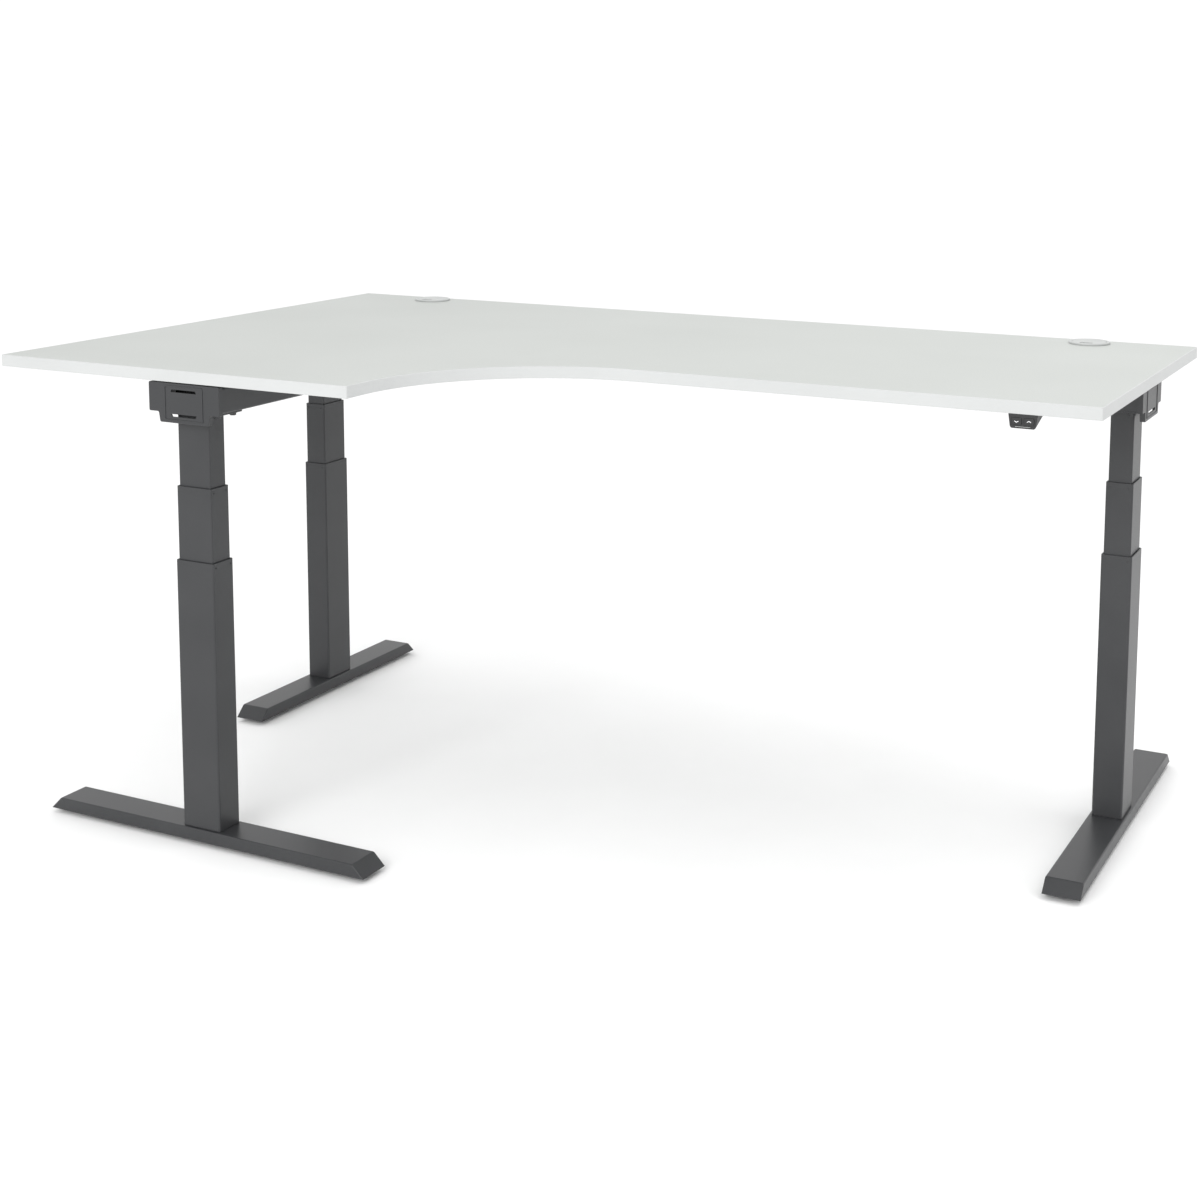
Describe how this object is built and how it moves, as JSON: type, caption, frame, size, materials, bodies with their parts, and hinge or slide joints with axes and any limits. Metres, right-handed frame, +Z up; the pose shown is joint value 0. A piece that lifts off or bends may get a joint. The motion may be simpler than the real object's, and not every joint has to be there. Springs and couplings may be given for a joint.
{
  "type": "height adjustable standing desk",
  "caption": "L-shaped sit-stand desk: pale worktop with a swept inner corner on dark telescopic steel legs with long flat feet, cable grommets and a push-button hand switch.",
  "frame": {"origin": "floor level, in the middle of the desk's outline seen from above (worktop and feet)", "axes": "+X to the right along the long back edge, +Y to the back edge, +Z up"},
  "size_m": [2, 1.278, 0.9043],
  "materials": {
    "laminate": "matt pale grey melamine-faced board",
    "edging": "matt plastic edge band",
    "powder_coat": "fine-textured satin powder coat, anthracite",
    "dark_plastic": "fine-grained moulded plastic",
    "grey_plastic": "satin moulded plastic",
    "glide_plastic": "matt moulded plastic, mid grey",
    "pad_rubber": "matt rubber",
    "zinc_steel": "zinc-plated steel",
    "liner_plastic": "smooth moulded plastic, nearly black"
  },
  "bodies": {
    "desk_top": {"worktop_board": "laminate", "edge_band": "edging", "grommet_ring_left": "grey_plastic", "grommet_ring_right": "grey_plastic", "main_beam": "powder_coat", "side_beam": "powder_coat", "joint_plate": "powder_coat", "beam_pad_front": "pad_rubber", "beam_pad_corner": "pad_rubber", "beam_pad_middle": "pad_rubber", "beam_pad_right": "pad_rubber", "control_box": "dark_plastic", "switch_housing": "dark_plastic", "end_cap_front": "powder_coat", "head_plate_front": "powder_coat", "gearbox_front": "dark_plastic", "motor_front": "zinc_steel", "inner_tube_front": "powder_coat", "end_cap_left": "powder_coat", "head_plate_left": "powder_coat", "gearbox_left": "dark_plastic", "motor_left": "zinc_steel", "inner_tube_left": "powder_coat", "end_cap_right": "powder_coat", "head_plate_right": "powder_coat", "gearbox_right": "dark_plastic", "motor_right": "zinc_steel", "inner_tube_right": "powder_coat"},
    "mid_stage_front": {"mid_tube_front": "powder_coat", "mid_liner_front": "liner_plastic", "nut_tube_front": "zinc_steel"},
    "foot_stage_front": {"outer_tube_front": "powder_coat", "outer_liner_front": "liner_plastic", "foot_front": "powder_coat"},
    "spindle_front": {"spindle_front": "zinc_steel"},
    "mid_stage_left": {"mid_tube_left": "powder_coat", "mid_liner_left": "liner_plastic", "nut_tube_left": "zinc_steel"},
    "foot_stage_left": {"outer_tube_left": "powder_coat", "outer_liner_left": "liner_plastic", "foot_left": "powder_coat"},
    "spindle_left": {"spindle_left": "zinc_steel"},
    "mid_stage_right": {"mid_tube_right": "powder_coat", "mid_liner_right": "liner_plastic", "nut_tube_right": "zinc_steel"},
    "foot_stage_right": {"outer_tube_right": "powder_coat", "outer_liner_right": "liner_plastic", "foot_right": "powder_coat"},
    "spindle_right": {"spindle_right": "zinc_steel"},
    "glide_front_a": {"glide_front_a": "glide_plastic"},
    "glide_front_b": {"glide_front_b": "glide_plastic"},
    "glide_left_a": {"glide_left_a": "glide_plastic"},
    "glide_left_b": {"glide_left_b": "glide_plastic"},
    "glide_right_a": {"glide_right_a": "glide_plastic"},
    "glide_right_b": {"glide_right_b": "glide_plastic"},
    "grommet_lid_left": {"grommet_lid_left": "grey_plastic"},
    "grommet_lid_right": {"grommet_lid_right": "grey_plastic"},
    "button_down": {"button_down": "dark_plastic"},
    "button_up": {"button_up": "dark_plastic"}
  },
  "joints": [
    {"name": "mid_slide_front", "type": "slide", "parent": "foot_stage_front", "child": "mid_stage_front", "axis": [0, 0, 1], "range_m": [-0.1325, 0.1925]},
    {"name": "lift", "type": "slide", "parent": "mid_stage_front", "child": "desk_top", "axis": [0, 0, 1], "range_m": [-0.1325, 0.1925]},
    {"name": "spindle_turn_front", "type": "hinge", "parent": "desk_top", "child": "spindle_front", "pos_m": [-0.56, -0.591, 0.6], "axis": [0, 0, 1], "range_deg": [-3976, 5776]},
    {"name": "mid_slide_left", "type": "slide", "parent": "desk_top", "child": "mid_stage_left", "axis": [0, 0, -1], "range_m": [-0.1325, 0.1925]},
    {"name": "foot_slide_left", "type": "slide", "parent": "mid_stage_left", "child": "foot_stage_left", "axis": [0, 0, -1], "range_m": [-0.1325, 0.1925]},
    {"name": "spindle_turn_left", "type": "hinge", "parent": "desk_top", "child": "spindle_left", "pos_m": [-0.91, 0.256, 0.6], "axis": [0, 0, 1], "range_deg": [-3976, 5776]},
    {"name": "mid_slide_right", "type": "slide", "parent": "desk_top", "child": "mid_stage_right", "axis": [0, 0, -1], "range_m": [-0.1325, 0.1925]},
    {"name": "foot_slide_right", "type": "slide", "parent": "mid_stage_right", "child": "foot_stage_right", "axis": [0, 0, -1], "range_m": [-0.1325, 0.1925]},
    {"name": "spindle_turn_right", "type": "hinge", "parent": "desk_top", "child": "spindle_right", "pos_m": [0.931, 0.256, 0.6], "axis": [0, 0, 1], "range_deg": [-3976, 5776]},
    {"name": "glide_turn_front_a", "type": "hinge", "parent": "foot_stage_front", "child": "glide_front_a", "pos_m": [-0.88, -0.591, 0.003], "axis": [0, 0, 1], "continuous": true},
    {"name": "glide_turn_front_b", "type": "hinge", "parent": "foot_stage_front", "child": "glide_front_b", "pos_m": [-0.24, -0.591, 0.003], "axis": [0, 0, 1], "continuous": true},
    {"name": "glide_turn_left_a", "type": "hinge", "parent": "foot_stage_left", "child": "glide_left_a", "pos_m": [-0.91, 0.509, 0.003], "axis": [0, 0, 1], "continuous": true},
    {"name": "glide_turn_left_b", "type": "hinge", "parent": "foot_stage_left", "child": "glide_left_b", "pos_m": [-0.91, 0.003, 0.003], "axis": [0, 0, 1], "continuous": true},
    {"name": "glide_turn_right_a", "type": "hinge", "parent": "foot_stage_right", "child": "glide_right_a", "pos_m": [0.931, -0.079, 0.003], "axis": [0, 0, 1], "continuous": true},
    {"name": "glide_turn_right_b", "type": "hinge", "parent": "foot_stage_right", "child": "glide_right_b", "pos_m": [0.931, 0.591, 0.003], "axis": [0, 0, 1], "continuous": true},
    {"name": "grommet_lid_turn_left", "type": "hinge", "parent": "desk_top", "child": "grommet_lid_left", "pos_m": [-0.778, 0.511, 0.9025], "axis": [0, 0, 1], "continuous": true},
    {"name": "grommet_lid_turn_right", "type": "hinge", "parent": "desk_top", "child": "grommet_lid_right", "pos_m": [0.796, 0.511, 0.9025], "axis": [0, 0, 1], "continuous": true},
    {"name": "button_down_press", "type": "slide", "parent": "desk_top", "child": "button_down", "axis": [0, 1, 0], "range_m": [0, 0.0012], "stiffness_N_per_m": 600, "springref_m": -0.0006},
    {"name": "button_up_press", "type": "slide", "parent": "desk_top", "child": "button_up", "axis": [0, 1, 0], "range_m": [0, 0.0012], "stiffness_N_per_m": 600, "springref_m": -0.0006}
  ],
  "couplings": [
    {"joint": "mid_slide_front", "follows": "lift", "ratio": 1},
    {"joint": "spindle_turn_front", "follows": "lift", "rad_per_m": 523.6},
    {"joint": "mid_slide_left", "follows": "lift", "ratio": 1},
    {"joint": "foot_slide_left", "follows": "lift", "ratio": 1},
    {"joint": "spindle_turn_left", "follows": "lift", "rad_per_m": 523.6},
    {"joint": "mid_slide_right", "follows": "lift", "ratio": 1},
    {"joint": "foot_slide_right", "follows": "lift", "ratio": 1},
    {"joint": "spindle_turn_right", "follows": "lift", "rad_per_m": 523.6}
  ]
}
